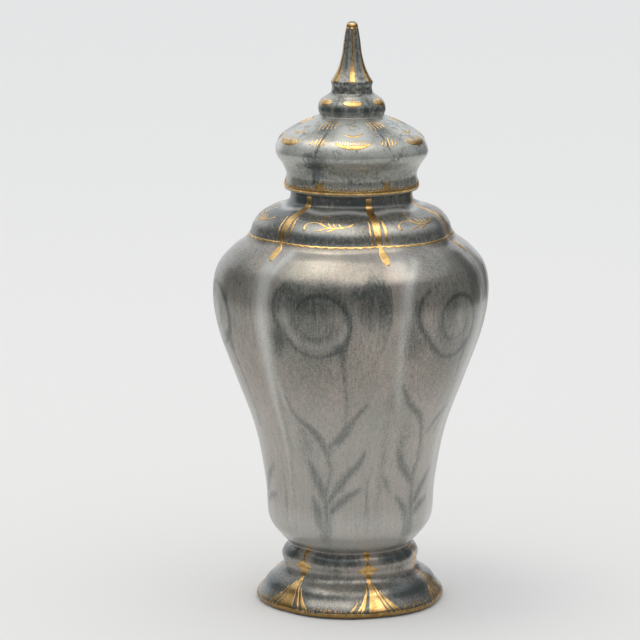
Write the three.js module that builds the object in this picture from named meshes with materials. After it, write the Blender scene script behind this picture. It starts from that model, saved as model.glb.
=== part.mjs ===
// Lidded mantel urn: a slip-cast ceramic vessel of six lobes on a lobed foot, with a loose spired lid.
// Millimetres, +Z up. The origin is under the middle of the foot, and one lobe of the body faces -Y.
import * as THREE from 'three';

// --- driving dimensions ---------------------------------------------------------------------------

const LOBE_COUNT = 6;
const FACETS_PER_LOBE = 6;
const GROOVE_SOFTNESS = 0.2; // 0 would leave a knife-sharp valley between two lobes
const STEPS_PER_SPAN = 2; // lengthwise steps between two points of an outline

const FOOT_RADIUS = 61.9;
const WAIST_RADIUS = 39.7;
const BELLY_RADIUS = 90.7;
const COLLAR_RADIUS = 66;
const NECK_RADIUS = 39.5;
const DOME_RADIUS = 50.5;
const LID_RIM_RADIUS = 44;
const RING_RADIUS = 22.5;
const DRUM_RADIUS = 13.9;

const WAIST_HEIGHT = 38;
const BELLY_HEIGHT = 204;
const SHOULDER_HEIGHT = 240.5;
const MOUTH_HEIGHT = 272;
const DOME_TOP_HEIGHT = 318.5;
const RING_TOP_HEIGHT = 334;
const SPIRE_BASE_HEIGHT = 341;
const OVERALL_HEIGHT = 380;

const WALL = 4.6; // thickness of the cast wall at the mouth
const FLOOR = 6.5; // thickness of the vessel's floor, over the hollow foot
const SOLE_WIDTH = 6.5; // flat ring that the urn stands on
const SEAT_GAP = 0.3; // room between the lid and the rim that it rests on
const FLANGE_PLAY = 1; // room between the lid's flange and the mouth
const FLANGE_DEPTH = 8;
const LID_TURN = THREE.MathUtils.degToRad(15.5); // the lid was put on a little round from the body's lobes

const MOUTH_RADIUS = NECK_RADIUS - WALL;
const FLANGE_RADIUS = MOUTH_RADIUS - FLANGE_PLAY;
const SEAT_HEIGHT = MOUTH_HEIGHT + SEAT_GAP;

// --- outlines -------------------------------------------------------------------------------------
// A point of an outline is [radius on the crest of a lobe, height, depth of the lobes].
// The depth runs from 0, a circle, towards 1: it is the share of the radius by which the centre of a
// lobe's own arc lies off the axis.

const footOutside = [
  [60.4, 0, 0.12],
  [FOOT_RADIUS, 3, 0.16],
  [60.2, 7.5, 0.22],
  [55, 15, 0.3],
  [44.9, 21, 0.3],
  [44.2, 26, 0.28],
];

const beadOutside = [
  [44.2, 26, 0.28],
  [45.3, 30.5, 0.28],
  [43.2, 35, 0.24],
  [WAIST_RADIUS, WAIST_HEIGHT, 0.18],
];

const bodyOutside = [
  [WAIST_RADIUS, WAIST_HEIGHT, 0.18],
  [45.9, 44, 0.15],
  [53.7, 56, 0.18],
  [55.9, 80, 0.22],
  [62.7, 115, 0.24],
  [75.6, 150, 0.25],
  [86.6, 180, 0.26],
  [BELLY_RADIUS, BELLY_HEIGHT, 0.27],
  [87.8, 222, 0.28],
  [78.1, 234, 0.29],
  [69.1, SHOULDER_HEIGHT, 0.29],
];

const collarOutside = [
  [69.1, SHOULDER_HEIGHT, 0.29],
  [COLLAR_RADIUS, 245, 0.29],
  [63.7, 251, 0.28],
  [57.7, 257.5, 0.25],
  [47, 261.5, 0.18],
  [40.9, 264.5, 0.1],
  [NECK_RADIUS, 268, 0.04],
  [NECK_RADIUS, MOUTH_HEIGHT - 1, 0],
];

const mouthRim = [
  [NECK_RADIUS - 1, MOUTH_HEIGHT, 0],
  [MOUTH_RADIUS + 1, MOUTH_HEIGHT, 0],
  [MOUTH_RADIUS, MOUTH_HEIGHT - 1, 0],
  [MOUTH_RADIUS, 265, 0.05],
];

const bodyInside = [
  [42, 258, 0.16],
  [57, 249, 0.26],
  [64, 239, 0.29],
  [74, 230.5, 0.29],
  [83, 219, 0.28],
  [BELLY_RADIUS - WALL, BELLY_HEIGHT, 0.27],
  [81.9, 181, 0.26],
  [71, 151, 0.25],
  [58.1, 116, 0.24],
  [51.3, 81, 0.22],
  [48.6, 58, 0.18],
  [41, 48, 0.12],
  [26, WAIST_HEIGHT + FLOOR, 0.04],
  [0, WAIST_HEIGHT + FLOOR, 0],
];

const footInside = [
  [0, WAIST_HEIGHT, 0],
  [26, WAIST_HEIGHT - 1, 0.06],
  [35.5, 32, 0.16],
  [39.3, 25, 0.26],
  [41.5, 18, 0.28],
  [49.5, 11.5, 0.26],
  [53, 4, 0.18],
  [60.4 - SOLE_WIDTH, 0, 0.12],
];

const lidOutside = [
  [LID_RIM_RADIUS - 0.5, SEAT_HEIGHT + 0.3, 0.05],
  [LID_RIM_RADIUS, 275.5, 0.08],
  [42.6, 281.5, 0.12],
  [45.5, 288.5, 0.2],
  [50.2, 295, 0.26],
  [DOME_RADIUS, 300, 0.28],
  [46.3, 307, 0.28],
  [34, 314, 0.26],
  [21.1, DOME_TOP_HEIGHT, 0.22],
];

const ringOutside = [
  [21.1, DOME_TOP_HEIGHT, 0.22],
  [RING_RADIUS, 323.5, 0.24],
  [21.1, 328.5, 0.24],
  [16.8, 332, 0.2],
  [DRUM_RADIUS, RING_TOP_HEIGHT, 0.16],
];

const drumOutside = [
  [DRUM_RADIUS, RING_TOP_HEIGHT, 0.16],
  [13.1, 337.5, 0.16],
  [DRUM_RADIUS, SPIRE_BASE_HEIGHT, 0.2],
];

const spireOutside = [
  [DRUM_RADIUS, SPIRE_BASE_HEIGHT, 0.2],
  [9.5, 349, 0.24],
  [6.7, 358.5, 0.2],
  [5.3, 368, 0.12],
  [4.1, 375, 0.04],
  [3, 378.8, 0],
  [0, OVERALL_HEIGHT, 0],
];

const lidInside = [
  [0, 326, 0],
  [8, 323, 0.06],
  [16, 314.5, 0.16],
  [30, 310, 0.24],
  [41, 304, 0.27],
  [45.4, 298, 0.26],
  [41.5, 289.5, 0.18],
  [37.6, 282, 0.1],
  [33, 276.5, 0.03],
];

const lidFlange = [
  [FLANGE_RADIUS - WALL, 273, 0],
  [FLANGE_RADIUS - WALL, MOUTH_HEIGHT - FLANGE_DEPTH + 0.8, 0],
  [FLANGE_RADIUS - WALL + 0.8, MOUTH_HEIGHT - FLANGE_DEPTH, 0],
  [FLANGE_RADIUS - 0.8, MOUTH_HEIGHT - FLANGE_DEPTH, 0],
  [FLANGE_RADIUS, MOUTH_HEIGHT - FLANGE_DEPTH + 0.8, 0],
  [FLANGE_RADIUS, SEAT_HEIGHT, 0],
  [LID_RIM_RADIUS - 1.5, SEAT_HEIGHT, 0.05],
];

// --- geometry -------------------------------------------------------------------------------------

/** Points of a smooth curve through an outline's points, with the same count of steps in every span. */
function smooth(outline) {
  const curve = new THREE.CatmullRomCurve3(
    outline.map(([radius, height, depth]) => new THREE.Vector3(radius, height, depth)),
    false,
    'catmullrom',
  );
  const points = curve.getPoints((outline.length - 1) * STEPS_PER_SPAN);
  return points.map((point) => [Math.max(point.x, 0), point.y, Math.max(point.z, 0)]);
}

/** Outlines end to end, where the last point of one is the first point of the next. */
function chain(...outlines) {
  return outlines.flatMap((outline, index) => (index === 0 ? outline : outline.slice(1)));
}

/**
 * Radius at an angle from a lobe's crest, as a share of the crest's own radius. A lobe is an arc of
 * radius (1 - depth) whose centre lies off the axis by the depth, and the arcs meet in a valley.
 */
function lobeShare(angle, depth) {
  const half = LOBE_COUNT / 2;
  const across = Math.sin(half * angle);
  const along = Math.hypot(Math.cos(half * angle), GROOVE_SOFTNESS);
  const fromCrest = Math.atan2(across, along) / half;
  const sideways = depth * Math.sin(fromCrest);
  return depth * Math.cos(fromCrest) + Math.sqrt((1 - depth) ** 2 - sideways ** 2);
}

/** An outline that starts and ends on the axis, turned about +Z and pressed into lobes. */
function lobedSolid(outline, turn) {
  const section = outline.map(([radius, height]) => new THREE.Vector2(radius, height));
  const geometry = new THREE.LatheGeometry(section, LOBE_COUNT * FACETS_PER_LOBE);
  const position = geometry.attributes.position;
  for (let index = 0; index < position.count; index += 1) {
    const x = position.getX(index);
    const z = position.getZ(index);
    const depth = outline[index % outline.length][2];
    const share = lobeShare(Math.atan2(x, z), depth);
    position.setX(index, x * share);
    position.setZ(index, z * share);
  }
  geometry.rotateX(Math.PI / 2);
  geometry.rotateZ(turn);
  geometry.computeVertexNormals();
  return geometry;
}

// --- pieces ---------------------------------------------------------------------------------------

/** The vessel: one casting from the foot's sole to the mouth, hollow, with a second hollow in the foot. */
function urnBody() {
  const outline = [
    ...footInside,
    ...smooth(footOutside),
    ...chain(smooth(beadOutside), smooth(bodyOutside), smooth(collarOutside)).slice(1),
    ...mouthRim,
    ...bodyInside,
  ];
  const glaze = new THREE.MeshStandardMaterial({ color: 0x8d8c87, roughness: 0.28, metalness: 0 });
  const mesh = new THREE.Mesh(lobedSolid(outline, 0), glaze);
  mesh.name = 'urn_body';
  return mesh;
}

/** The lid: a hollow dome with a flange that drops into the mouth, and a ring, a drum and a spire on top. */
function urnLid() {
  const outline = [
    ...lidInside,
    ...lidFlange,
    ...chain(smooth(lidOutside), smooth(ringOutside), smooth(drumOutside), smooth(spireOutside)),
  ];
  const glaze = new THREE.MeshStandardMaterial({ color: 0x96978f, roughness: 0.28, metalness: 0 });
  const mesh = new THREE.Mesh(lobedSolid(outline, LID_TURN), glaze);
  mesh.name = 'urn_lid';
  return mesh;
}

const urn = new THREE.Group();
urn.add(urnBody(), urnLid());

export default urn;
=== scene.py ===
"""A lidded mantel urn: lobed ceramic under a sponged slate and taupe lustre glaze, with brushed gilding.

The script goes through the urn as it is put together: the cast vessel and its glaze, the loose lid,
the gold brushed on the foot, the collar and the lid, and then the table, the lamps and the camera.
"""
import math

import bpy
import numpy as np
from mathutils import Matrix, Vector


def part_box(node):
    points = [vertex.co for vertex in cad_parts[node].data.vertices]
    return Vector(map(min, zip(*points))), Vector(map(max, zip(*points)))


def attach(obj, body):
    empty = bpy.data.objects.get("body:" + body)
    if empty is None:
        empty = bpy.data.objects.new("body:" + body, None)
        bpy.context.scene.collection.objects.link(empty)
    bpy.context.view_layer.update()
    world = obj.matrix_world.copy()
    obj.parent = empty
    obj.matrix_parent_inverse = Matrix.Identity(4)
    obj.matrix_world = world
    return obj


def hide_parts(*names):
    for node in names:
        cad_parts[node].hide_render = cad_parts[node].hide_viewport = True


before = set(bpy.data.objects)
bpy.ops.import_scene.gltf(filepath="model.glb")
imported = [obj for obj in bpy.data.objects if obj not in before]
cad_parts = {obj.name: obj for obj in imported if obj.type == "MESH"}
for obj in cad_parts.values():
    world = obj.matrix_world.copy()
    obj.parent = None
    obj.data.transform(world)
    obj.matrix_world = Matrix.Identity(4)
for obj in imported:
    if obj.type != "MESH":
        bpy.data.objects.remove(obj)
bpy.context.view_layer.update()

# --- The vessel ------------------------------------------------------------------------------------
# One slip-cast piece from the sole of its foot to its mouth, pressed into six lobes. It is hollow, with
# a floor over a second hollow inside the foot, and its wall is about 4.6 mm of white ceramic.

vessel_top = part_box("urn_body")[1].z
mm = vessel_top / 272  # one millimetre, from the height of the mouth
lobe_count = 6
lobe_angle = 360 / lobe_count
groove_softness = 0.2  # 0 would leave a knife-sharp valley between two lobes
column_count = 360
skin_step = 1.5  # distance between the rows of the vessel's mesh, in millimetres
lining_step = 7.0  # the same for the hollows, which nobody sees close up

# A point of an outline is [radius on the crest of a lobe, height, depth of the lobes].
foot_outline = [
    [60.5, 0.4, 0.12], [61.9, 3, 0.16], [61.1, 5.6, 0.19], [59.0, 8.5, 0.23], [56.7, 11.3, 0.26],
    [54.8, 14.4, 0.29], [51.8, 17, 0.3], [47.6, 19.6, 0.3], [45.0, 22.4, 0.29], [44.2, 26, 0.28],
]
bead_outline = [[44.2, 26, 0.28], [45.3, 30.5, 0.28], [43.2, 35, 0.24], [39.7, 38, 0.18]]
body_outline = [
    [39.7, 38, 0.18], [45.9, 44, 0.15], [53.7, 56, 0.18], [55.9, 80, 0.22], [62.7, 115, 0.24],
    [75.5, 150, 0.25], [86.4, 180, 0.26], [90.5, 204, 0.27], [87.7, 222, 0.28], [78.1, 234, 0.29],
    [69.1, 240.5, 0.29],
]
collar_outline = [
    [69.1, 240.5, 0.29], [66, 245, 0.29], [63.7, 251, 0.28], [57.7, 257.5, 0.25], [47, 261.5, 0.18],
    [40.9, 264.5, 0.1], [39.5, 268, 0.04], [39.5, 271, 0],
]
mouth_rim = [[39.2, 271.7, 0], [38.5, 272, 0], [36, 272, 0], [35.2, 271.7, 0], [34.9, 271, 0]]
vessel_lining = [
    [34.9, 265, 0.05], [42, 258, 0.16], [57, 249, 0.26], [64, 239, 0.29], [74, 230.5, 0.29], [83, 219, 0.28],
    [86.1, 204, 0.27], [81.9, 181, 0.26], [71, 151, 0.25], [58.1, 116, 0.24], [51.3, 81, 0.22],
    [48.6, 58, 0.18], [41, 48, 0.12], [26, 44.5, 0.04], [1, 44.5, 0],
]
foot_lining = [
    [1, 38, 0], [26, 37, 0.06], [35.5, 32, 0.16], [39.3, 25, 0.26], [41.5, 18, 0.28], [49.5, 11.5, 0.26],
    [53, 4, 0.18], [53.9, 0.4, 0.12],
]
sole = [[54.4, 0, 0.12], [59.9, 0, 0.12]]


def smooth_curve(points, step):
    """Even steps along a smooth curve through points, of which the first two numbers are lengths.

    Between two points b and c, with neighbours a and d, the curve is the cubic that leaves b along
    (c - a) / 2 and reaches c along (d - b) / 2. Past each end a mirrored point stands in.
    """
    knots = np.array(points, float)
    padded = np.vstack([2 * knots[0] - knots[1], knots, 2 * knots[-1] - knots[-2]])
    place = np.linspace(0, len(knots) - 1, 40 * (len(knots) - 1) + 1)
    span = np.minimum(place.astype(int), len(knots) - 2)
    part = (place - span)[:, None]
    a, b, c, d = (padded[span + k] for k in range(4))
    leave = (c - a) / 2
    reach = (d - b) / 2
    bend = 3 * (c - b) - 2 * leave - reach
    twist = 2 * (b - c) + leave + reach
    curve = b + leave * part + bend * part**2 + twist * part**3
    walked = np.append(0, np.cumsum(np.hypot(*np.diff(curve[:, :2], axis=0).T)))
    stops = np.linspace(0, walked[-1], max(2, round(walked[-1] / step) + 1))
    return np.stack([np.interp(stops, walked, column) for column in curve.T], axis=1)


def chained(outlines, step):
    """Smoothed outlines end to end, where the last point of one is the first point of the next."""
    curves = [smooth_curve(outline, step) for outline in outlines]
    return np.vstack([curves[0]] + [curve[1:] for curve in curves[1:]])


def lobe_share(angle, depth):
    """Radius at an angle from a lobe's crest, as a share of the radius on the crest.

    A lobe is an arc of radius 1 - depth about a point that lies off the axis by the depth. The angle is
    folded into one lobe by atan2(sin, cos) of half the lobe count times it, with the cosine kept off
    zero by the groove's softness.
    """
    half = lobe_count / 2
    along = np.hypot(np.cos(half * angle), groove_softness)
    folded = np.arctan2(np.sin(half * angle), along) / half
    return depth * np.cos(folded) + np.sqrt((1 - depth) ** 2 - (depth * np.sin(folded)) ** 2)


def turned(radius, angle, height):
    """Points in metres at a radius and a height, at an angle from -Y towards +X."""
    return np.stack([radius * np.sin(angle), -radius * np.cos(angle), height + 0 * radius], axis=-1) * mm


def lobed_rows(outline, turn):
    """Rows of points round the axis, one for each point of an outline: its radius times the lobe share."""
    angle = np.linspace(0, 2 * np.pi, column_count, endpoint=False)[None]
    radius, height, depth = (outline[:, k, None] for k in range(3))
    return turned(radius * lobe_share(angle - turn, np.clip(depth, 0, None)), angle, height)


def closed_turning(name, rows):
    """A closed mesh from rows round the axis: each row is joined to the next, and a point on the axis
    closes each end with a fan."""
    count, around = rows.shape[:2]
    ends = rows[[0, -1]].mean(axis=1)
    row = np.arange(count - 1)[:, None] * around
    here = np.arange(around)
    after = (here + 1) % around
    walls = np.stack([row + here, row + after, row + around + after, row + around + here], axis=-1)
    first = np.stack([np.full(around, count * around), after, here], axis=-1)
    last_row = (count - 1) * around
    last = np.stack([last_row + here, last_row + after, np.full(around, count * around + 1)], axis=-1)
    mesh = bpy.data.meshes.new(name)
    vertices = np.vstack([rows.reshape(-1, 3), ends])
    mesh.from_pydata(vertices, [], walls.reshape(-1, 4).tolist() + first.tolist() + last.tolist())
    mesh.polygons.foreach_set("use_smooth", np.ones(len(mesh.polygons), bool))
    mesh.update()
    piece = bpy.data.objects.new(name, mesh)
    bpy.context.scene.collection.objects.link(piece)
    return piece


def paint(piece, name, values, first_row):
    """Stores a painted strength on the skin's rows of a piece; the lining's rows stay bare."""
    strength = np.zeros(len(piece.data.vertices))
    start = first_row * column_count
    strength[start:start + values.size] = values.ravel()
    layer = piece.data.attributes.new(name, "FLOAT", "POINT")
    layer.data.foreach_set("value", np.clip(strength, 0, 1))


def eased(low, high, value):
    """0 below low and 1 above high, with an S-shaped rise t * t * (3 - 2 t) between them."""
    part = np.clip((value - low) / (high - low), 0, 1)
    return part * part * (3 - 2 * part)


vessel_skin = chained([foot_outline, bead_outline, body_outline, collar_outline], skin_step)
under_vessel = np.vstack([smooth_curve(foot_lining, lining_step), sole])
over_vessel = np.vstack([mouth_rim, smooth_curve(vessel_lining, lining_step)])
vessel = closed_turning("vessel", lobed_rows(np.vstack([under_vessel, vessel_skin, over_vessel]), 0))

# --- The painting on the vessel ---------------------------------------------------------------------
# Brushed and sponged under the lustre in a bluish slate, and wiped back to pale in places: a volute
# high on each lobe under a sponged cloud, a spray of leaves below it, and smudges on bead and foot.
# The same layers also carry painted highlights, painted reflections and painted shade.

column_angle = np.degrees(np.linspace(0, 2 * np.pi, column_count, endpoint=False))[None]
lobe_number = np.round(column_angle / lobe_angle).astype(int)
off_crest = column_angle - lobe_angle * lobe_number  # degrees from the crest, -30 to 30
lobe_number = lobe_number % lobe_count
right_of_groove = (lobe_number + (off_crest > 0)) % lobe_count  # lobe on the right of the nearest groove
height = vessel_skin[:, 1, None]
crest = vessel_skin[:, 0, None]


def dealt(weights, number):
    """Each point's own weight out of a list of six, one for each lobe or groove from the front one on."""
    return np.array(weights)[number]


def spanned(value, rise_from, rise_to, fall_from, fall_to):
    """1 between two places and 0 outside them, eased up to the first and down from the second."""
    return eased(rise_from, rise_to, value) * (1 - eased(fall_from, fall_to, value))


def hump(value, middle, reach):
    """A soft bump: exp(-((value - middle) / reach) squared)."""
    return np.exp(-(((value - middle) / reach) ** 2))


def ripple(angle, count, phase=0.0):
    """A sine wave along an angle in degrees, with so many waves in one turn."""
    return np.sin(np.radians(count * angle + phase))


def strongest(*layers):
    """The strongest of several painted layers at each point of the skin."""
    return np.max(np.broadcast_arrays(*layers), axis=0)


# The painter's hand differs a little from lobe to lobe, and two sprays of leaves take turns.
spray_lift = dealt([0, -4, 4, -3, 5, -2], lobe_number)
spray_lean = dealt([0, 2.5, -3, 2, -2, -1], lobe_number)
cloud_top = dealt([223, 248, 227, 236, 226, 248], lobe_number)
cloud_weight = dealt([1, 0.5, 0.9, 0.8, 0.9, 0.44], lobe_number)
first_spray = lobe_number % 2 == 0


def crest_radius(at_height):
    """Radius on a lobe's crest at a height, read off the vessel's outline."""
    return np.interp(at_height, vessel_skin[:, 1], vessel_skin[:, 0])


def stroke(points, softness=0.9):
    """Strength of one brush stroke over the skin, painted on every lobe.

    A point is [degrees from the crest, height, half width in mm]. The strength falls off across the
    edge as 1 / (1 + exp(gap / softness)), where the gap is the distance outside the stroke.
    """
    path = smooth_curve(points, 4)
    sideways = np.radians(path[:, 0]) * crest_radius(path[:, 1])
    across = np.radians(off_crest - spray_lean) * crest
    upward = height - spray_lift
    strength = np.zeros(across.shape)
    for k in range(len(path) - 1):
        run = sideways[k + 1] - sideways[k]
        rise = path[k + 1, 1] - path[k, 1]
        part = ((across - sideways[k]) * run + (upward - path[k, 1]) * rise) / (run**2 + rise**2)
        part = np.clip(part, 0, 1)
        gap = np.hypot(across - sideways[k] - part * run, upward - path[k, 1] - part * rise)
        gap = gap - (path[k, 2] + part * (path[k + 1, 2] - path[k, 2]))
        strength = np.maximum(strength, 1 / (1 + np.exp(np.clip(gap / softness, -30, 30))))
    return strength


# The volute: a spiral line with a light inside its turn, a dark heart above and mist round and below it.
volute = stroke([
    [6.0, 199, 0.5], [6.2, 194, 0.8], [2.4, 189.2, 0.9], [-3.0, 188.6, 0.9], [-7.0, 193, 1.0],
    [-8.6, 200, 1.0], [-8.2, 208, 1.2], [-4.6, 214.5, 1.6], [1.2, 216.8, 1.6], [7.4, 214.2, 1.5],
    [11.6, 208, 1.8], [13.5, 200.5, 1.8], [13.5, 193.5, 1.9], [12.2, 187.5, 2.2], [9.6, 182.2, 2.5],
    [4.8, 178.2, 1.4], [-2.0, 176.4, 1.1], [-9.0, 181, 1.4], [-14.6, 190.6, 1.6], [-18.4, 198.4, 1.7],
    [-19.8, 207, 1.7], [-18.4, 216, 1.2], [-14.5, 222, 0.5],
])
outer_arc = stroke([
    [20, 214.5, 0.4], [25, 211, 0.9], [28.4, 200, 1.1], [28.8, 191, 1.1], [26.2, 176, 1.1],
    [21.8, 165, 1.2], [14.8, 160.4, 0.4],
], softness=1.0) * dealt([1, 0, 0.6, 0.2, 0.7, 0.2], lobe_number)
volute_light = strongest(
    stroke([[11.2, 198, 0.4], [10.6, 191, 1.3], [7.2, 185.6, 1.7], [1.0, 183.4, 1.4], [-5.2, 185.2, 0.9]]),
    stroke([[-14.6, 213, 0.8], [-14.0, 203, 1.8], [-11.6, 192, 2.0], [-6.6, 184, 0.8]]),
) * dealt([1, 0.4, 1, 0.8, 1, 0.5], lobe_number)
off_volute = np.radians(off_crest + 2 - spray_lean) * crest
above_volute = height - 206 - spray_lift
inside_volute = 1 - eased(13, 22, np.hypot(off_volute, above_volute + 8))
volute_heart = hump(off_volute, 0, 11.5) * hump(above_volute, 5, 8.5)
volute_heart = volute_heart * dealt([1, 0.7, 1, 0.8, 1, 0.9], lobe_number)
volute_eye = hump(off_volute, 6, 5) * hump(above_volute, -10, 13)
volute_eye = volute_eye * dealt([0, 1, 0, 0.6, 0, 1], lobe_number)
volute_foot = hump(off_volute, 17, 6) * hump(above_volute, -23, 5)
under_volute = hump(off_volute, -24, 9) * hump(above_volute, -19, 14)
under_volute = under_volute * dealt([1, 0.6, 0.9, 0.7, 0.9, 0.8], lobe_number)
volute_mist = hump(off_volute, 3, 36) * hump(above_volute, -18, 38)
volute_mist = volute_mist * dealt([1, 1, 1, 1, 1, 0.7], lobe_number)

# The plant below it: a stem out of the volute, and a spray of leaves that grows up from the bead.
stem = stroke([
    [10.4, 184, 2.6], [10.5, 177, 2.8], [10.6, 170, 1.6], [11.9, 150, 0.5], [11.5, 131, 0.6], [9, 124, 0.9],
])
first_leaves = strongest(
    stroke([[1.9, 116, 0.7], [0.6, 105, 0.9], [1.8, 98, 0.6], [-1.6, 85, 0.7], [-2.6, 73, 1.2],
            [-1.4, 62, 2.4], [-3.5, 55, 3.6], [-4.5, 49, 3.2]]),
    stroke([[2.9, 115.5, 0.8], [7, 118.8, 2.8], [10, 123, 2.9], [13.5, 129.4, 1.9], [18.4, 138, 1.1],
            [22.2, 143.5, 0.5]]),
    stroke([[-21, 147, 0.5], [-17.4, 135, 0.9], [-9.6, 127, 2.2], [-5.2, 121.5, 2.6], [-0.6, 111, 1.6],
            [0.8, 104, 0.5]]),
    stroke([[-12.6, 104, 0.5], [-9.2, 93.5, 2.8], [-5.4, 84, 2.6], [-2.9, 74.6, 0.8]]),
    stroke([[23, 110.4, 0.4], [18.8, 102, 1.7], [12.4, 95, 2.3], [6.2, 86, 2.3], [-1.6, 74.6, 0.6]]),
    stroke([[20.8, 85, 0.4], [13.4, 81, 1.9], [6, 74.6, 2.1], [0.5, 68, 0.9]]),
    stroke([[-11.4, 78.5, 0.5], [-8.8, 70, 2.6], [-7.0, 62, 2.5], [-4.2, 54, 1.8]]),
)
second_leaves = strongest(
    stroke([[-22.5, 160, 0.5], [-16.3, 146, 1.6], [-9.3, 138, 2.2], [-4.6, 128, 1.2], [-1.8, 108, 0.8],
            [-4.4, 98, 1.0], [-3.7, 81, 1.4], [-3.6, 63, 3.0], [-2.4, 50, 3.6]]),
    stroke([[-18, 115, 1.0], [-14.6, 104, 2.6], [-8.5, 96, 2.2], [-3.8, 89, 1.2]]),
    stroke([[15.4, 97, 0.6], [7, 88.5, 2.6], [0, 78, 2.2]]),
    stroke([[-16.4, 82.5, 0.5], [-9.4, 73.5, 2.4], [-7.2, 62, 2.7], [-5.4, 53, 2.2]]),
    stroke([[14, 77, 0.5], [6, 74.5, 2.2], [-1.6, 69, 1.6]]),
    stroke([[-26.6, 97, 0.4], [-24.6, 92, 1.2], [-22.6, 87, 0.5]]),
)
high_leaf = stroke([[22, 144, 0.4], [14, 138.5, 1.6], [6.5, 132.5, 1.6], [1.4, 124, 0.6]])
high_leaf = high_leaf * dealt([0, 1, 0, 1, 0, 0], lobe_number)
leaves = np.where(first_spray, first_leaves, strongest(second_leaves, high_leaf))
leaf_mist = hump(off_crest, -13, 5) * hump(height, 117, 15)
thin_lines = strongest(
    stroke([[27.2, 211, 0.3], [28.6, 203, 0.5], [28.8, 194, 0.5], [27.0, 178, 0.3]], softness=0.6),
    stroke([[24.6, 92, 0.3], [25.4, 74, 0.8], [25.8, 55, 0.4]], softness=0.7),
)

# The sponged cloud above the volute, and the shade that hangs down beside the grooves.
cloud_edge = cloud_top + 2.5 * ripple(off_crest, 23) + 1.5 * ripple(off_crest, 49, 60)
cloud_edge = cloud_edge + 8 * eased(17, 27, off_crest)
cloud = eased(200, 214, height - 0.25 * off_crest) * (1 - eased(cloud_edge - 7, cloud_edge + 5, height))
cloud = cloud * spanned(off_crest, -24, -17, 28, 30)
cloud = cloud * (0.78 + 0.14 * hump(off_crest, 21, 9)) * cloud_weight
curtain = eased(12, 20, off_crest) + (1 - eased(-29.5, -28, off_crest))
curtain = curtain * spanned(height, 182, 206, 218, 226)
curtain = curtain * dealt([0.3, 1, 0.5, 0.8, 0.6, 0.9], right_of_groove)
valley = spanned(off_crest, -24.5, -22.5, -18, -12) * spanned(height, 164, 180, 205, 222)
valley = valley * dealt([0, 1, 0.6, 0.8, 0.5, 0.3], lobe_number)
# Painted shade down the right side of some lobes, high up and lower down.
side_shade = eased(6, 17, off_crest) * eased(150, 185, height)
side_shade = side_shade * dealt([0, 0.6, 0, 0.3, 0.5, 0], lobe_number)
low_side_shade = eased(8, 20, off_crest) * spanned(height, 110, 140, 168, 190)
low_side_shade = low_side_shade * dealt([0, 0.4, 0, 0.2, 0.3, 0], lobe_number)
low_shade = stroke([
    [-27.0, 154, 1.4], [-26.6, 121, 2.6], [-27.9, 101, 1.4], [-29.0, 84, 0.7], [-29.2, 54, 0.5],
], softness=1.3)

# Smudges on the lip under the belly, on the bead and on the foot, painted shade on bead and foot, and a
# painted highlight low on the foot.
lip_smudge = spanned(height, 38, 40, 41, 45) * (hump(off_crest, -8, 9) + 0.8 * hump(off_crest, 20, 9))
# Slate on the bead, darkest where the bead's highlight would fall: real paint and painted shade.
bead_slate_and_shade = strongest(hump(height, 34.4, 3.4), 0.45 * hump(height, 27, 5) * hump(off_crest, 1, 9))
bead_slate_and_shade = bead_slate_and_shade * (1 - eased(17, 26, np.abs(off_crest - 2)))
bead_slate_and_shade = bead_slate_and_shade * (0.85 + 0.15 * ripple(column_angle, 31))
foot_smudge = hump(height, 14.0, 6.0) * (1 - eased(12, 26, np.abs(off_crest)))
foot_smudge = foot_smudge * dealt([0.15, 1, 0.9, 1, 0.9, 0.85], lobe_number)
foot_shade = (1 - eased(16, 24, height)) * eased(8, 24, np.abs(off_crest + 2))
# Painted shade: two dark bands round the foot where the overhead lamp's highlight would fall.
foot_shade_bands = strongest(0.74 * hump(height, 13.8, 2.2), 0.7 * hump(height, 20.8, 2.2))
foot_shade_bands = foot_shade_bands * (1 - eased(14, 24, np.abs(off_crest + 2)))
foot_shade_bands = foot_shade_bands * (0.85 + 0.15 * ripple(column_angle, 37))
# Painted highlight: a pale band low on the foot's front lobes.
foot_painted_highlight = strongest(0.3 * hump(height, 8.9, 2.6), 0.1 * hump(height, 17.5, 2.2))
foot_painted_highlight = foot_painted_highlight * (1 - eased(10, 19, np.abs(off_crest - 1)))
foot_painted_highlight = foot_painted_highlight * dealt([1, 0.2, 0.6, 0.4, 0.8, 0.3], lobe_number)
sole_shade = 1 - eased(4.2, 6.2, height)
foot_ground = 1 - eased(20, 25, height)

# The collar is slate nearly all over, with painted shade on the neck under the lid and a painted glint where
# it turns up into the neck.
collar_slate_and_neck_shade = 0.63 + 0.16 * ripple(column_angle, 5, 130) * np.cos((height - 250) / 5)
collar_slate_and_neck_shade = collar_slate_and_neck_shade * dealt([1, 0.72, 1.05, 0.9, 1.05, 1.3], lobe_number)
# Painted shade: the neck is darker under the lid's overhang.
collar_slate_and_neck_shade = (collar_slate_and_neck_shade + 0.25 * eased(262.5, 265, height)) * eased(241.5, 243.5, height)
neck_glint = hump(height, 262.2 + 0.5 * ripple(column_angle, 9), 0.9)
# Painted reflection: a creamy band across the collar's front lobes.
collar_painted_reflection = hump(height, 253.2, 2.6) * (1 - eased(16, 27, np.abs(off_crest + 4)))

# Pale places: a painted reflection beside each groove, a pale streak left by a wipe down the flank of the
# next lobe, a wipe with a painted highlight on the shoulder, paler paint low on the body, and a painted
# highlight on the lip.
past_groove = off_crest - lobe_angle / 2 * np.sign(off_crest + 1e-9)
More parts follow.
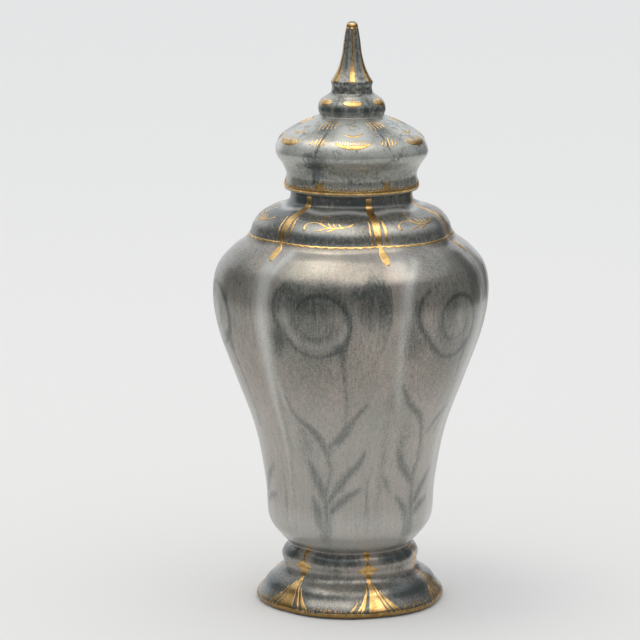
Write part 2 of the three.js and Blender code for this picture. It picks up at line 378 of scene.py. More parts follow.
# Painted reflection of the bright side: a pale band beside each groove.
band_middle = np.interp(height, [60, 135, 158, 181, 226], [0.3, 0.2, 2.0, 3.6, 3.4])
band_reach = np.interp(height, [60, 135, 181, 226], [2.2, 2.8, 3.8, 5.0])
band_strength = np.interp(height, [50, 90, 150, 190, 230, 239], [0.15, 0.5, 0.8, 0.95, 1, 0])
groove_painted_reflection = hump(past_groove, band_middle, band_reach) * band_strength
groove_painted_reflection = groove_painted_reflection * dealt([1, 0, 0.5, 0.2, 0.6, 0.3], right_of_groove)
thin_flank = stroke([
    [-18, 239, 1.5], [-22.4, 231, 2.2], [-24.6, 222, 3.2], [-25.0, 206, 2.7], [-25.6, 190, 2.1],
    [-25.4, 174, 2.1], [-24.4, 160, 1.9], [-21.6, 139, 1.6], [-19.5, 118, 1.2],
], softness=1.2)
thin_flank = thin_flank * np.interp(height, [120, 150, 196, 208], [0.4, 0.7, 0.8, 1.4])
# A pale wipe high on the flank beside the groove, which is also a painted highlight on the shoulder.
shoulder_wipe_and_highlight = hump(off_crest, -21, 6) * hump(height, 231, 8)
shoulder_wipe_and_highlight = shoulder_wipe_and_highlight * dealt([0.3, 1, 0.4, 0.6, 0.3, 0.5], lobe_number)
low_light = spanned(height, 50, 60, 120, 165)
# Painted highlight on the lip under the belly, fading up over the lower body.
lip_painted_highlight = strongest(hump(height, 47, 5), 0.6 * spanned(height, 38, 50, 58, 84))

slate = strongest(
    0.62 * volute_heart, 0.4 * volute, 0.35 * volute_foot,
    0.66 * cloud, 0.4 * curtain,
    (0.2 + 0.25 * (1 - eased(60, 100, height))) * leaves,
    0.5 * lip_smudge, 1.05 * bead_slate_and_shade, 0.95 * foot_smudge, 0.5 * foot_shade, foot_shade_bands, 0.75 * sole_shade,
    collar_slate_and_neck_shade,
)
shade = strongest(
    0.95 * volute, volute_foot, 0.48 * inside_volute * (1 - 0.6 * volute_eye), 0.46 * volute_mist,
    0.85 * under_volute, 0.42 * outer_arc,
    0.4 * cloud, 0.5 * curtain, 0.55 * valley, 0.8 * side_shade, low_side_shade, 0.35 * low_shade,
    0.8 * stem, 0.84 * leaves, 0.42 * leaf_mist, 0.55 * thin_lines,
    0.5 * bead_slate_and_shade, 0.4 * foot_ground,
)
pale = strongest(
    0.75 * groove_painted_reflection, 0.58 * thin_flank, 0.5 * shoulder_wipe_and_highlight, 0.25 * volute_eye, 0.2 * volute_light,
    0.22 * low_light, 0.7 * lip_painted_highlight, foot_painted_highlight, 0.95 * neck_glint, 0.5 * collar_painted_reflection,
)
paint(vessel, "slate", slate, len(under_vessel))
paint(vessel, "shade", shade, len(under_vessel))
paint(vessel, "pale", pale, len(under_vessel))

# --- The glaze -------------------------------------------------------------------------------------
# A clear gloss over a pearly lustre: taupe with vertical brush marks, slate that breaks up into sponge
# specks at its edges, and pale for wipes and for painted highlights and reflections, with less lustre there.

slate_threshold = 0.78  # painted slate plus mottle has to pass this before the sponge leaves a speck
lustre = 0.45  # how metallic the glaze is, and how much of that is lost under the pale of wipes and painted highlights
lustre_lost_where_pale = 0.14
glaze_roughness = 0.3
slate_roughness = 0.08  # added where slate covers the ground
gloss_weight = 0.45
gloss_roughness = 0.16
glaze_ripple = 0.0004  # height of the glaze's gentle unevenness, in metres


def add_node(tree, kind, inputs=(), **settings):
    """One shader node, with each input linked to another node's socket or set to a plain value."""
    node = tree.nodes.new(kind)
    for name, value in settings.items():
        setattr(node, name, value)
    for name, value in dict(inputs).items():
        if isinstance(value, bpy.types.NodeSocket):
            tree.links.new(value, node.inputs[name])
        else:
            node.inputs[name].default_value = value
    return node


def blended(tree, share, first, second):
    """A colour that goes from the first to the second as the share goes from 0 to 1."""
    sockets = {0: share, 6: first, 7: second}
    return add_node(tree, "ShaderNodeMix", sockets, data_type="RGBA").outputs[2]


def combined(tree, operation, first, second, third=0.0):
    """A Math node's result; MULTIPLY_ADD is the first times the second plus the third."""
    return add_node(tree, "ShaderNodeMath", {0: first, 1: second, 2: third}, operation=operation).outputs[0]


def limited(tree, value, times):
    """A value times a factor, held between 0 and 1."""
    settings = {"operation": "MULTIPLY", "use_clamp": True}
    return add_node(tree, "ShaderNodeMath", {0: value, 1: times}, **settings).outputs[0]


def respread(tree, value, low, high):
    """A value spread so that low becomes 0 and high becomes 1, and held between them."""
    spread = {"Value": value, "From Min": low, "From Max": high}
    return add_node(tree, "ShaderNodeMapRange", spread).outputs["Result"]


def scaled_place(tree, scale):
    """The object's own coordinates, scaled along X, Y and Z."""
    where = add_node(tree, "ShaderNodeTexCoord").outputs["Object"]
    return add_node(tree, "ShaderNodeMapping", {"Vector": where, "Scale": scale}).outputs[0]


def stretched_noise(tree, scale, size, detail, low, high):
    """Noise on the object's own coordinates, scaled along X, Y and Z, and spread to run from 0 to 1."""
    settings = {"Vector": scaled_place(tree, scale), "Scale": size, "Detail": detail, "Roughness": 0.6}
    return respread(tree, add_node(tree, "ShaderNodeTexNoise", settings).outputs["Fac"], low, high)


def glaze_material(name, cool, warm, shade_colour, slate_colour, pale_colour, threads=0.0):
    """Lustre glaze. The ground runs from cool to warm by the brush marks. The soft shade goes over it,
    then slate where painted slate plus mottle passes the threshold, then pale, which stands both for wipes
    and for painted highlights and reflections, and last dark threads along the line where a slow noise
    crosses its middle, with a second noise to break them off."""
    material = bpy.data.materials.new(name)
    material.use_nodes = True
    tree = material.node_tree
    shader = tree.nodes["Principled BSDF"]
    sponge = stretched_noise(tree, (1, 1, 0.75), 560, 7, 0.36, 0.64)
    grain = stretched_noise(tree, (1, 1, 0.7), 1500, 3, 0.36, 0.64)
    marks = stretched_noise(tree, (1, 1, 0.07), 260, 4, 0.32, 0.68)
    hairs = stretched_noise(tree, (1, 1, 0.05), 800, 3, 0.32, 0.68)
    drift = stretched_noise(tree, (1, 1, 0.35), 30, 3, 0.32, 0.68)
    slate_paint = add_node(tree, "ShaderNodeAttribute", attribute_name="slate").outputs["Fac"]
    shade_paint = add_node(tree, "ShaderNodeAttribute", attribute_name="shade").outputs["Fac"]
    pale_paint = add_node(tree, "ShaderNodeAttribute", attribute_name="pale").outputs["Fac"]

    brushed = combined(tree, "MULTIPLY_ADD", marks, 0.45, combined(tree, "MULTIPLY", drift, 0.55))
    ground = blended(tree, brushed, (*cool, 1), (*warm, 1))
    lines = combined(tree, "MULTIPLY_ADD", hairs, 0.4, combined(tree, "MULTIPLY", grain, 0.6))
    shaded = combined(tree, "MULTIPLY_ADD", shade_paint, 1.2, -0.46)
    shaded = limited(tree, combined(tree, "MULTIPLY_ADD", lines, 0.9, shaded), 1.0)
    ground = blended(tree, shaded, ground, (*shade_colour, 1))
    mottle = combined(tree, "MULTIPLY_ADD", sponge, 0.8, combined(tree, "MULTIPLY", hairs, 0.2))
    specks = combined(tree, "ADD", mottle, combined(tree, "ADD", slate_paint, -slate_threshold))
    specks = limited(tree, specks, 2.2)
    covered = combined(tree, "MULTIPLY_ADD", specks, 0.5, combined(tree, "MULTIPLY", slate_paint, 0.42))
    coloured = blended(tree, covered, ground, (*slate_colour, 1))
    wipes_and_highlights = combined(tree, "MULTIPLY", pale_paint, combined(tree, "MULTIPLY_ADD", lines, -0.5, 1.1))
    finished = blended(tree, wipes_and_highlights, coloured, (*pale_colour, 1))
    if threads:
        wander = stretched_noise(tree, (1, 1, 0.6), 62, 5, 0.3, 0.7)
        off_thread = combined(tree, "ABSOLUTE", combined(tree, "ADD", wander, -0.5), 0.0)
        broken = stretched_noise(tree, (1, 1, 1), 60, 2, 0.44, 0.58)
        thread = combined(tree, "MULTIPLY", respread(tree, off_thread, 0.075, 0.015), broken)
        finished = blended(tree, combined(tree, "MULTIPLY", thread, threads), finished, (*slate_colour, 1))

    roughness = combined(tree, "MULTIPLY_ADD", covered, slate_roughness, glaze_roughness)
    metallic = combined(tree, "MULTIPLY_ADD", wipes_and_highlights, -lustre_lost_where_pale, lustre)
    swell = stretched_noise(tree, (1, 1, 1), 90, 2, 0.3, 0.7)
    bump = add_node(tree, "ShaderNodeBump", {"Height": swell, "Strength": 0.12, "Distance": glaze_ripple})
    tree.links.new(finished, shader.inputs["Base Color"])
    tree.links.new(roughness, shader.inputs["Roughness"])
    tree.links.new(metallic, shader.inputs["Metallic"])
    tree.links.new(bump.outputs[0], shader.inputs["Normal"])
    shader.inputs["Coat Weight"].default_value = gloss_weight
    shader.inputs["Coat Roughness"].default_value = gloss_roughness
    return material


body_glaze = glaze_material(
    "body_glaze", cool=(0.235, 0.238, 0.205), warm=(0.39, 0.33, 0.285), shade_colour=(0.057, 0.064, 0.053),
    slate_colour=(0.051, 0.069, 0.069), pale_colour=(0.61, 0.61, 0.58),
)
vessel.data.materials.append(body_glaze)
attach(vessel, "root")
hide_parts("urn_body")

# --- The lid ---------------------------------------------------------------------------------------
# A second casting that only rests on the mouth's rim, with a flange that keeps it centred: a lobed
# dome, a ring, a short drum and a fluted spire. It sits turned by about a quarter of a lobe.

lid_turn = math.radians(15.5)
lid_step = 0.9  # distance between the rows of the lid's mesh, in millimetres
lid_outlines = [
    [[43.5, 272.6, 0.05], [44, 275.5, 0.08], [42.6, 281.5, 0.12], [45.5, 288.5, 0.2], [50.2, 295, 0.26],
     [50.5, 300, 0.28], [46.3, 307, 0.28], [34.2, 314.2, 0.26], [21.2, 319.7, 0.22]],
    [[21.2, 319.7, 0.22], [22.4, 324, 0.24], [21.1, 328.5, 0.24], [16.8, 332, 0.2], [13.9, 334, 0.16]],
    [[13.9, 334, 0.16], [13.1, 337.5, 0.16], [13.9, 341, 0.2]],
    [[13.9, 341, 0.2], [9.5, 349, 0.24], [6.7, 358.5, 0.2], [5.3, 368, 0.12], [4.1, 375, 0.04],
     [3, 378.6, 0], [1.4, 379.7, 0]],
]
lid_lining = [
    [1, 326, 0], [8, 323, 0.06], [16, 314.5, 0.16], [30, 310, 0.24], [41, 304, 0.27], [45.4, 298, 0.26],
    [41.5, 289.5, 0.18], [37.6, 282, 0.1], [33, 276.5, 0.03],
]
lid_flange = [
    [29.3, 273, 0], [29.3, 264.8, 0], [30.1, 264, 0], [33.1, 264, 0], [33.9, 264.8, 0], [33.9, 271.9, 0],
    [34.2, 272.3, 0], [42.2, 272.3, 0.05], [42.9, 272.4, 0.05],
]

lid_skin = chained(lid_outlines, lid_step)
under_lid = np.vstack([smooth_curve(lid_lining, lining_step), lid_flange])
lid = closed_turning("lid", lobed_rows(np.vstack([under_lid, lid_skin]), lid_turn))

lid_angle = column_angle - math.degrees(lid_turn)
lid_height = lid_skin[:, 1, None]
lid_lobe = np.round(lid_angle / lobe_angle).astype(int)
off_lid_crest = lid_angle - lobe_angle * lid_lobe
lid_lobe = lid_lobe % lobe_count
beside_crest = np.abs(off_lid_crest)
in_groove = eased(18, 30, beside_crest)
lid_groove = np.floor(lid_angle / lobe_angle).astype(int)
from_groove = lid_angle - lobe_angle * (lid_groove + 0.5)  # degrees past the nearest groove
lid_groove = lid_groove % lobe_count
front_left_groove = 5

# A dark vein leans down each groove, and a sponged patch lies on the waist beside it. The deepest one,
# at the front left, runs on down to the rim.
vein_lean = dealt([-0.9, 0.6, -0.5, 0.8, -0.7, 1.0], lid_groove)
vein_middle = np.interp(lid_height, [283, 296, 308, 316], [-5.5, -0.6, 2.9, 4.6]) * vein_lean
vein = hump(from_groove, vein_middle, 1.5 + 0.6 * np.sin(lid_height * 1.3))
vein = vein * spanned(lid_height, 276, 282, 316, 319)
vein = vein * np.where(lid_groove == front_left_groove, 1, eased(299, 305, lid_height))
waist_patch = hump(from_groove, vein_middle + 2, 9.5) * hump(lid_height, 291, 11)
waist_patch = waist_patch * dealt([0.3, 0.5, 0.2, 0.6, 0.35, 1.0], lid_groove)

dapple = ripple(lid_angle, 7, 90) * np.cos(lid_height / 3)
waist_shade = hump(lid_height, 297, 3.5) * hump(off_lid_crest, -8, 14)
# Painted shade in the dome's grooves, under the ring.
shade_under_ring = eased(13, 28, beside_crest) * spanned(lid_height, 307, 314, 317, 319)
ring_band = (0.88 + 0.22 * ripple(lid_angle, 15, 90)) * hump(lid_height, 324, 3.6)
ring_sides = strongest(0.8 * in_groove * hump(lid_height, 329.5, 4),
                       0.55 * eased(7, 16, beside_crest) * hump(lid_height, 329, 3.5))
drum_band = 0.58 + 0.25 * ripple(lid_angle, 11, 90) * np.cos(1.5 * lid_height)
drum_band = drum_band * spanned(lid_height, 332, 334, 341.5, 343)
spire_tint = (0.2 + 0.3 * in_groove) * eased(342, 344, lid_height) + 0.2 * eased(350, 362, lid_height)
lid_slate = strongest(
    0.9 * vein, waist_patch, 0.2 + 0.16 * dapple, 0.3 * waist_shade, 0.22 * hump(lid_height, 277, 4),
    0.7 * shade_under_ring, ring_band, ring_sides, drum_band, spire_tint,
)
lid_shade = strongest(
    0.12 * in_groove, 0.5 * vein, 0.3 * hump(lid_height, 296, 5), 0.3 * hump(lid_height, 286, 5),
    0.2 * hump(lid_height, 277, 4),
)

# Painted highlights on the lid: pale on the dome's top and brow, on the waist away from the front, on the
# ring's top and along its foot.
dome_highlight = hump(lid_height, 311, 9) * (1 - eased(8, 22, beside_crest))
brow_highlight = (0.78 - 0.2 * hump(off_lid_crest, 4, 12)) * hump(lid_height, 302, 6.5)
waist_highlight = hump(lid_height, 295.5, 6) * dealt([0.1, 1, 0.6, 0.8, 0.6, 1], lid_lobe)
ring_highlight = hump(lid_height, 330.5, 2) * (1 - eased(8, 20, beside_crest))
ring_foot_highlight = hump(lid_height, 317.6, 2.2) * (1 - 0.8 * in_groove)
lid_pale = strongest(
    0.85 * dome_highlight, brow_highlight, 0.55 * waist_highlight, 0.75 * ring_highlight, 0.6 * ring_foot_highlight,
)
lid_pale = lid_pale * (1 - 0.85 * np.maximum(vein, np.clip(waist_patch, 0, 1)))
paint(lid, "slate", lid_slate, len(under_lid))
paint(lid, "shade", lid_shade, len(under_lid))
paint(lid, "pale", lid_pale, len(under_lid))

lid_glaze = glaze_material(
    "lid_glaze", cool=(0.30, 0.315, 0.275), warm=(0.40, 0.37, 0.32), shade_colour=(0.08, 0.088, 0.076),
    slate_colour=(0.036, 0.050, 0.049), pale_colour=(0.60, 0.615, 0.57), threads=0.6,
)
lid.data.materials.append(lid_glaze)
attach(lid, "root")
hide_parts("urn_lid")

# --- The gilding on the foot -------------------------------------------------------------------------
# Liquid gold brushed over the fired glaze and fired again, so it stands about a tenth of a millimetre
# proud: a line round the sole, a bellied mark down each groove, and flames of short strokes beside it.

gold_lift = 0.13  # height of a stroke's crown over its own edges, in millimetres
gold_sunk = 0.05  # how far its edges lie in the glaze; its underside lies three times as deep
gold_full_width = 0.4  # half width from which a stroke is laid at its full thickness
small_step = 0.5  # angle in degrees and height in millimetres for slopes of the surface


def skin_point(outline, turn, angle, at_height):
    """Point of a lobed skin, in metres, at an angle in degrees from -Y and at a height."""
    crest_here = np.interp(at_height, outline[:, 1], outline[:, 0])
    depth = np.interp(at_height, outline[:, 1], outline[:, 2])
    radians = np.radians(angle)
    return turned(crest_here * lobe_share(radians - turn, np.clip(depth, 0, None)), radians, at_height)


def skin_slopes(outline, turn, angle, at_height):
    """Change of a skin's point for one degree and for one millimetre of height, and the unit normal,
    which is their cross product."""
    half = small_step / 2
    by_angle = (skin_point(outline, turn, angle + half, at_height)
                - skin_point(outline, turn, angle - half, at_height)) / small_step
    by_height = (skin_point(outline, turn, angle, at_height + half)
                 - skin_point(outline, turn, angle, at_height - half)) / small_step
    normal = np.cross(by_angle, by_height)
    return by_angle, by_height, normal / np.linalg.norm(normal, axis=-1, keepdims=True)


def dot(first, second):
    """Scalar product of two arrays of vectors."""
    return np.sum(first * second, axis=-1)


def gold_stroke(outline, turn, path, step=0.8, across=7, closed=False):
    """Points and faces of one closed stroke of gold along a path over a skin.

    A path's point is [angle, height, half width in mm]. The side vector s = normal x direction is split
    into shares of the skin's two slopes, p = (s.a h.h - s.h a.h) / g and q = (s.h a.a - s.a a.h) / g
    with g = a.a h.h - (a.h)^2, so a point u half widths to the side lies on the skin at
    (angle + p u, height + q u). The top is lifted by lift (1 - u^4) - sunk, and the underside lies at
    -3 sunk. Without a step the path's own points are used as they are.
    """
    if step:
        scaled = np.array(path, float)
        per_degree = np.radians(np.interp(scaled[:, 1].mean(), outline[:, 1], outline[:, 0]))
        scaled[:, 0] *= per_degree
        run = smooth_curve(scaled, step)
        run[:, 0] /= per_degree
    else:
        run = np.array(path, float)
    angle, at_height, half_width = run.T
    by_angle, by_height, normal = skin_slopes(outline, turn, angle, at_height)
    middle = skin_point(outline, turn, angle, at_height)
    if closed:
        direction = np.roll(middle, -1, axis=0) - np.roll(middle, 1, axis=0)
    else:
        direction = np.gradient(middle, axis=0)
    side = np.cross(normal, direction)
    side /= np.linalg.norm(side, axis=-1, keepdims=True)
    aa, ah, hh = dot(by_angle, by_angle), dot(by_angle, by_height), dot(by_height, by_height)
    sa, sh = dot(side, by_angle), dot(side, by_height)
    ground = aa * hh - ah**2
    p = (sa * hh - sh * ah) / ground
    q = (sh * aa - sa * ah) / ground
    top = np.linspace(-1, 1, across)
    underside = [0.8, 0, -0.8]
    place = np.append(top, underside)
    proud = np.append(gold_lift * (1 - top**4) - gold_sunk, np.full(len(underside), -3 * gold_sunk))
    reach = half_width[:, None] * place * mm
    thin = np.clip(half_width / gold_full_width, 0.25, 1)[:, None]
    wide_angle = angle[:, None] + p[:, None] * reach
    wide_height = at_height[:, None] + q[:, None] * reach
    wide_height = np.clip(wide_height, outline[0, 1] + 0.01, outline[-1, 1] - 0.01)
    wide_normal = skin_slopes(outline, turn, wide_angle, wide_height)[2]
    points = skin_point(outline, turn, wide_angle, wide_height)
    points = points + wide_normal * (proud * thin * mm)[..., None]
    rows, around = points.shape[:2]
    here = np.arange(around)
    after = (here + 1) % around
    row = np.arange(rows if closed else rows - 1)[:, None]
    ahead = (row + 1) % rows * around
    row = row * around
    faces = np.stack([row + here, ahead + here, ahead + after, row + after], axis=-1).reshape(-1, 4).tolist()
    if not closed:
        faces.append(here.tolist())
        faces.append(((rows - 1) * around + here[::-1]).tolist())
    return points.reshape(-1, 3), faces


def gilded(name, strokes):
    """One mesh of all the strokes of gold on one part of the urn, riding with it."""
    vertices, faces, count = [], [], 0
    for points, stroke_faces in strokes:
        vertices.append(points)
        faces.extend([[corner + count for corner in face] for face in stroke_faces])
        count += len(points)
    mesh = bpy.data.meshes.new(name)
    mesh.from_pydata(np.vstack(vertices), [], faces)
    mesh.polygons.foreach_set("use_smooth", np.ones(len(mesh.polygons), bool))
    mesh.update()
    piece = bpy.data.objects.new(name, mesh)
    bpy.context.scene.collection.objects.link(piece)
    piece.data.materials.append(gilding)
    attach(piece, "root")


bright_gold = (0.80, 0.54, 0.23, 1)
worn_gold = (0.53, 0.32, 0.11, 1)
gold_in_sole_shadow = (0.16, 0.09, 0.024, 1)  # painted shadow: the gold darkens towards the sole, where the urn stands on the table
sole_shadow_from = 5.5 * mm
sole_shadow_to = 0.5 * mm

gilding = bpy.data.materials.new("gilding")
gilding.use_nodes = True
gold_tree = gilding.node_tree
gold_shader = gold_tree.nodes["Principled BSDF"]
gold_shader.inputs["Metallic"].default_value = 1.0
gold_wear = stretched_noise(gold_tree, (1, 1, 1), 260, 4, 0.35, 0.68)
gold_place = add_node(gold_tree, "ShaderNodeSeparateXYZ", {"Vector": scaled_place(gold_tree, (1, 1, 1))})
gold_sole_shadow = respread(gold_tree, gold_place.outputs["Z"], sole_shadow_from, sole_shadow_to)
gold_colour = blended(gold_tree, gold_wear, bright_gold, worn_gold)
gold_colour = blended(gold_tree, gold_sole_shadow, gold_colour, gold_in_sole_shadow)
gold_ripple = stretched_noise(gold_tree, (1, 1, 1), 900, 2, 0.3, 0.7)
gold_roughness = combined(gold_tree, "MULTIPLY_ADD", gold_wear, 0.16, 0.26)
gold_unevenness = {"Height": gold_ripple, "Strength": 0.25, "Distance": 0.0002}
gold_bump = add_node(gold_tree, "ShaderNodeBump", gold_unevenness)
gold_tree.links.new(gold_colour, gold_shader.inputs["Base Color"])
gold_tree.links.new(gold_roughness, gold_shader.inputs["Roughness"])
gold_tree.links.new(gold_bump.outputs[0], gold_shader.inputs["Normal"])

hand = np.random.default_rng(11)  # the painter's small slips, the same on every run


def moved(path, angle, lean=0.0):
    """A stroke's path carried round the urn by an angle, and leaned by some degrees for each millimetre."""
    carried = np.array(path, float)
    carried[:, 0] += angle + lean * (carried[:, 1] - carried[:, 1].mean())
    return carried


groove_mark = [
    [0, 39.2, 0.4], [0.4, 38.4, 1.9], [0.3, 36.8, 2.5], [0, 35.2, 1.9], [-0.2, 33.9, 0.8], [0, 32.6, 1.1],
    [0, 31.2, 2.2], [0, 29.6, 4.6], [0, 28.4, 7.7], [0, 27.6, 7.3], [0, 26, 4.7], [0, 24, 2.7],
    [-0.2, 21.5, 1.6], [-0.3, 19, 1.5], [-0.2, 16, 2.3], [0, 12.5, 3.6], [0, 9, 5.0], [0, 6, 6.4],
    [0, 3.2, 8.0],
]
foot_flames = [
    [[2.4, 20, 0.2], [4.8, 14, 0.9], [8.0, 8, 1.2], [10.4, 3, 1.5]],
    [[5.0, 17, 0.2], [8.4, 11.5, 0.9], [12.0, 6.5, 1.2], [14.2, 3, 1.5]],
    [[9.5, 12, 0.2], [13.2, 8, 0.8], [16.0, 5, 1.0], [17.6, 3, 1.2]],
    [[-2.6, 20, 0.2], [-4.0, 14, 0.8], [-6.2, 8, 1.2], [-8.6, 3, 1.5]],
    [[-5, 16, 0.2], [-7.6, 10, 0.9], [-10.4, 6, 1.1], [-12.2, 3, 1.3]],
    [[-9.4, 11.5, 0.2], [-12, 8, 0.8], [-14.4, 5, 1.0], [-15.6, 3, 1.1]],
]
sole_angles = np.arange(0, 360, 1.0)
sole_line = np.stack([
    sole_angles, 2.3 + 0.2 * ripple(sole_angles, 9), 1.6 + 0.2 * ripple(sole_angles, 7),
], axis=1)
foot_gold = [gold_stroke(vessel_skin, 0, sole_line, step=None, closed=True)]
for groove in range(lobe_count):
    groove_angle = lobe_angle * (groove + 0.5)
    mark = moved(groove_mark, groove_angle, hand.uniform(-0.1, 0.1))
    foot_gold.append(gold_stroke(vessel_skin, 0, mark, step=0.7, across=13))
    for flame in foot_flames:
        flicker = moved(flame, groove_angle + hand.uniform(-0.6, 0.6))
        foot_gold.append(gold_stroke(vessel_skin, 0, flicker, step=1.6))
    for tooth in np.arange(19.0, 43.5, 1.55):
        root = groove_angle + tooth + hand.uniform(-0.4, 0.4)
        tip = root + hand.uniform(-1.2, 1.2)
        rise = hand.uniform(5.2, 7.8)
        lick = [[tip, rise, 0.12], [(root + tip) / 2, 4.8, 0.45], [root, 3.0, 0.7]]
        foot_gold.append(gold_stroke(vessel_skin, 0, lick, step=1.2, across=5))
gilded("foot_gilding", foot_gold)

# --- The gilding on the collar ------------------------------------------------------------------------
# A strap of gold down each groove of the collar between two thin lines, ending in a bud on the shoulder,
# a scalloped line round the collar's foot, and a leafy scroll on each lobe.

strap = [[0.5, 271.2, 2.1], [0.5, 268, 2.2], [0.2, 264, 2.6], [0, 261, 3.0], [0, 257, 3.0], [-0.2, 251, 2.6],
         [0, 246, 2.3], [0.2, 243.4, 1.3], [0.6, 241.6, 1.7], [1.0, 239.2, 2.9], [1.3, 236.6, 3.0],
         [1.6, 234.6, 2.0], [1.8, 233.2, 0.4]]
strap_lines = [
    [[-5.4, 259.4, 0.6], [-4.4, 257, 0.5], [-4.6, 252, 0.8], [-3.9, 247.5, 0.6], [-4.0, 244, 0.8]],
    [[5.4, 259.6, 0.5], [4.9, 257.4, 0.9], [5.1, 254.5, 1.2], [5.1, 251.6, 1.3], [4.8, 250.2, 0.9],
     [4.2, 247, 0.7], [4.5, 244, 0.9]],
]
scroll = [
    [[-14.6, 252.8, 0.9], [-15.8, 254.4, 0.8], [-14.4, 256.6, 0.45], [-10.5, 257.6, 0.35], [-6, 257.2, 0.45],
     [-1.5, 255.6, 0.6], [3, 254.9, 0.7], [8, 255.2, 0.7], [12.5, 256.0, 0.5], [15.6, 257.6, 0.7]],
    [[-2.2, 255.9, 0.5], [-5.4, 257.8, 0.55], [-5.6, 259.8, 0.5], [-3.4, 261, 0.5], [-1.6, 260.4, 0.25]],
    [[2.0, 255.2, 0.3], [0.2, 256.8, 0.6], [-1.0, 258.6, 0.2]],
    [[5.2, 255.1, 0.3], [3.6, 256.4, 0.6], [2.2, 258.0, 0.2]],
    [[8.4, 255.4, 0.3], [7.0, 256.5, 0.5], [5.8, 257.9, 0.2]],
    [[1.4, 255, 0.25], [-3.2, 254, 0.55], [-7.6, 252.6, 0.25]],
    [[5.4, 254.9, 0.25], [2.2, 253.8, 0.55], [-1.2, 252.4, 0.25]],
]
line_angles = np.arange(0, 360, 0.5)
scallops = np.abs(ripple(line_angles, lobe_count * 5.5))
collar_line = np.stack([line_angles, 243.8 - 0.45 * scallops, 0.6 + 0.5 * scallops], axis=1)
collar_gold = [gold_stroke(vessel_skin, 0, collar_line, step=None, closed=True, across=5)]
for groove in range(lobe_count):
    groove_angle = lobe_angle * (groove + 0.5)
    lean = hand.uniform(-0.08, 0.08)
    for path in [strap] + strap_lines:
        collar_gold.append(gold_stroke(vessel_skin, 0, moved(path, groove_angle, lean), across=9))
    lobe_middle = lobe_angle * groove
    for path in scroll:
        heavier = np.array(path) * (1, 1, 1.3)
        collar_gold.append(gold_stroke(vessel_skin, 0, moved(heavier, lobe_middle), step=0.6, across=5))
gilded("collar_gilding", collar_gold)

# --- The gilding on the lid -----------------------------------------------------------------------------
# A combed band round the lid's rim, combed crescents on the lobes of the dome and the ring, bundles of
# short strokes in the dome's grooves, a stripe up each flute's crest of the spire, and a gold tip.

lid_degrees = math.degrees(lid_turn)
rim_angles = np.arange(0, 360, 1.0)
near_groove = np.abs(ripple(rim_angles - lid_degrees, lobe_count / 2)) ** 6
rim_band = np.stack([rim_angles, 274.6 + 0.4 * near_groove, 1.5 + 0.5 * near_groove], axis=1)
crescents = [
    [[-9, 311.6, 0.3], [-5, 311.0, 0.8], [0, 310.7, 1.0], [5, 311.1, 0.9], [9.6, 312.2, 0.4]],
    [[-14, 306.8, 0.6], [-9, 305.2, 1.5], [0, 304.6, 2.0], [8, 305.2, 1.6], [14.4, 307, 0.4]],
    [[-17, 329.8, 0.5], [-10.5, 328.8, 1.9], [0, 328.4, 2.5], [10.5, 328.8, 2.0], [17, 329.8, 0.5]],
]
crest_stripe = np.array([
    [0, 341.5, 2.5], [0, 345, 2.3], [0, 349, 1.9], [0, 353, 1.1], [0, 358, 0.7], [0, 364, 0.5],
    [0, 371, 0.6], [0, 376, 1.0],
])
stripe_breadth = [1, 1.45, 1.45, 1.45, 1.45, 1.45]  # the front flute's stripe is the slimmest
tip_angles = np.arange(0, 360, 6.0)
spire_tip = np.stack([tip_angles, 377.4 + 0 * tip_angles, 1.7 + 0 * tip_angles], axis=1)

lid_gold = [
    gold_stroke(lid_skin, lid_turn, rim_band, step=None, closed=True),
    gold_stroke(lid_skin, lid_turn, spire_tip, step=None, closed=True),
]
for lobe in range(lobe_count):
    crest_angle = lid_degrees + lobe_angle * lobe
    groove_angle = crest_angle + lobe_angle / 2
    for path in crescents + [crest_stripe * (1, 1, stripe_breadth[lobe])]:
        lid_gold.append(gold_stroke(lid_skin, lid_turn, moved(path, crest_angle), step=0.7))
    hairs = []  # the lobe's thin strokes, each through points as [angle, height, half width in mm]
    for tooth in crest_angle + np.arange(-12, 11, 2.1):  # a comb inside the dome's lower crescent
        hairs.append([[tooth, 305.6, 0.5], [tooth + 0.3, 308.0 + hand.uniform(0, 0.6), 0.2]])
    for tooth in crest_angle + np.arange(-14, 15, 4.6):  # a comb inside the ring's crescent
        hairs.append([[tooth, 329.4, 0.5], [tooth, 331.4, 0.25]])
    for k in range(5):  # two bundles of five, high and low in the dome's groove
        start = groove_angle - 10 + 4.6 * k
        hairs.append([[start - 2, 318.2, 0.3], [start, 316.4, 0.5], [start + 1, 313.2 + 0.3 * k, 0.3]])
        start = groove_angle - 6.6 + 3.1 * k
        rise = 3.2 - 0.9 * abs(k - 2)
        hairs.append([[start + 2, 306.6 + rise, 0.3], [start + 1, 306.6, 0.75], [start, 306.2 - rise, 0.3]])
    for tooth in np.arange(-28, 29, 2.8):  # the comb over the rim's band, taller beside the grooves
        tip_height = 276.6 + hand.uniform(0.8, 2.2) + 3.2 * (abs(tooth) / 30) ** 5
        root = crest_angle + tooth
        tip = root + hand.uniform(-0.8, 0.8)
        hairs.append([[tip, tip_height, 0.15], [root, 276.6, 0.5], [root, 275.2, 0.8]])
    for tooth in groove_angle + np.array([-2.4, -0.6, 1.3, 2.8]):  # flames in the rim's groove
        hairs.append([[tooth, 281.6 + hand.uniform(-1, 1), 0.3], [tooth, 278, 0.8], [tooth, 275.5, 1.0]])
    for hair in hairs:
        lid_gold.append(gold_stroke(lid_skin, lid_turn, hair, across=5))
gilded("lid_gilding", lid_gold)

# --- The table, the lamps and the camera --------------------------------------------------------------
# A plain pale table and a pale world. One small lamp overhead, one broad one that only shows as gloss,
# and a curved dark flag that only the glaze reflects. The camera looks past one lobe of the body.

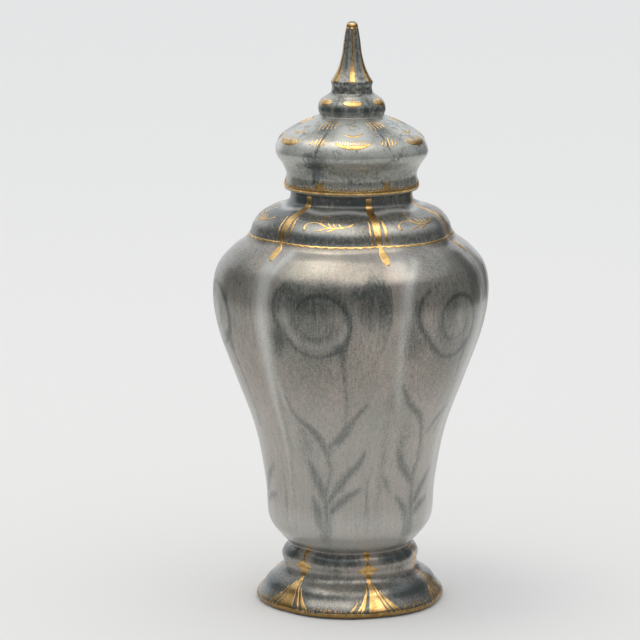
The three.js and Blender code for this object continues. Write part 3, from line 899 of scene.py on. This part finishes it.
table_reach = 9.0
table_mesh = bpy.data.meshes.new("table")
table_corners = [(-table_reach, -table_reach, 0), (table_reach, -table_reach, 0),
                 (table_reach, table_reach, 0), (-table_reach, table_reach, 0)]
table_mesh.from_pydata(table_corners, [], [(0, 1, 2, 3)])
table_material = bpy.data.materials.new("table")
table_material.use_nodes = True
table_shader = table_material.node_tree.nodes["Principled BSDF"]
table_shader.inputs["Base Color"].default_value = (0.84, 0.82, 0.79, 1)
table_shader.inputs["Roughness"].default_value = 0.9
table_mesh.materials.append(table_material)
table = bpy.data.objects.new("table", table_mesh)
bpy.context.scene.collection.objects.link(table)

world = bpy.data.worlds.new("studio")
world.use_nodes = True
world.node_tree.nodes["Background"].inputs["Color"].default_value = (0.93, 0.96, 1.0, 1)
world.node_tree.nodes["Background"].inputs["Strength"].default_value = 0.98
bpy.context.scene.world = world

view_turn = math.radians(14)  # the camera stands this far round from -Y towards +X
round_axis = Matrix.Rotation(view_turn, 3, "Z")
lamp_aim = Vector((0, 0, 0.19))


def lamp(name, place, size, power, colour, gloss_only=False):
    """A rectangular lamp at a place seen from the camera's side, aimed at the urn. A lamp for gloss only
    shows in the glaze and lights nothing else."""
    light = bpy.data.lights.new(name, "AREA")
    light.shape = "RECTANGLE"
    light.size, light.size_y = size
    light.energy = power
    light.color = colour
    holder = bpy.data.objects.new(name, light)
    holder.location = round_axis @ Vector(place)
    holder.rotation_euler = (lamp_aim - holder.location).to_track_quat("-Z", "Y").to_euler()
    holder.visible_diffuse = not gloss_only
    bpy.context.scene.collection.objects.link(holder)


lamp("overhead_lamp", (-0.5, -0.1, 2.2), (0.8, 0.8), 4.5, (1, 0.93, 0.82))
lamp("overhead_gloss", (-0.2, -0.45, 2.0), (2.8, 1.25), 22, (1, 0.89, 0.74), gloss_only=True)

flag_angles = np.radians(np.linspace(-126, 152, 76)) + view_turn
flag_radius = np.full(len(flag_angles), 1000.0)  # in millimetres, like the height
flag_height = 950
flag_rows = [turned(flag_radius, flag_angles, 0), turned(flag_radius, flag_angles, flag_height)]
flag_count = len(flag_angles)
flag_faces = [(k, k + 1, flag_count + k + 1, flag_count + k) for k in range(flag_count - 1)]
flag_mesh = bpy.data.meshes.new("dark_flag")
flag_mesh.from_pydata(np.vstack(flag_rows), [], flag_faces)
flag_material = bpy.data.materials.new("dark_flag")
flag_material.use_nodes = True
flag_material.node_tree.nodes["Principled BSDF"].inputs["Base Color"].default_value = (0.05, 0.05, 0.05, 1)
flag_mesh.materials.append(flag_material)
flag = bpy.data.objects.new("dark_flag", flag_mesh)
flag.visible_camera = False
flag.visible_diffuse = False
flag.visible_shadow = False
bpy.context.scene.collection.objects.link(flag)

camera_roll = 0.002  # radians, a hair off level
camera_place = round_axis @ Vector((0, -2.0884, 0.5806))
camera_target = round_axis @ Vector((-0.0202, 0, 0.185))
forward = (camera_target - camera_place).normalized()
level = forward.cross(Vector((0, 0, 1))).normalized()
rightward = Matrix.Rotation(-camera_roll, 3, forward) @ level
upward = rightward.cross(forward)
camera_data = bpy.data.cameras.new("camera")
camera_data.sensor_width = 36
camera_data.lens = 183.6
camera = bpy.data.objects.new("camera", camera_data)
camera_axes = Matrix((rightward, upward, -forward)).transposed().to_4x4()
camera.matrix_world = Matrix.Translation(camera_place) @ camera_axes
bpy.context.scene.collection.objects.link(camera)
bpy.context.scene.camera = camera
bpy.context.scene.view_settings.view_transform = "Standard"
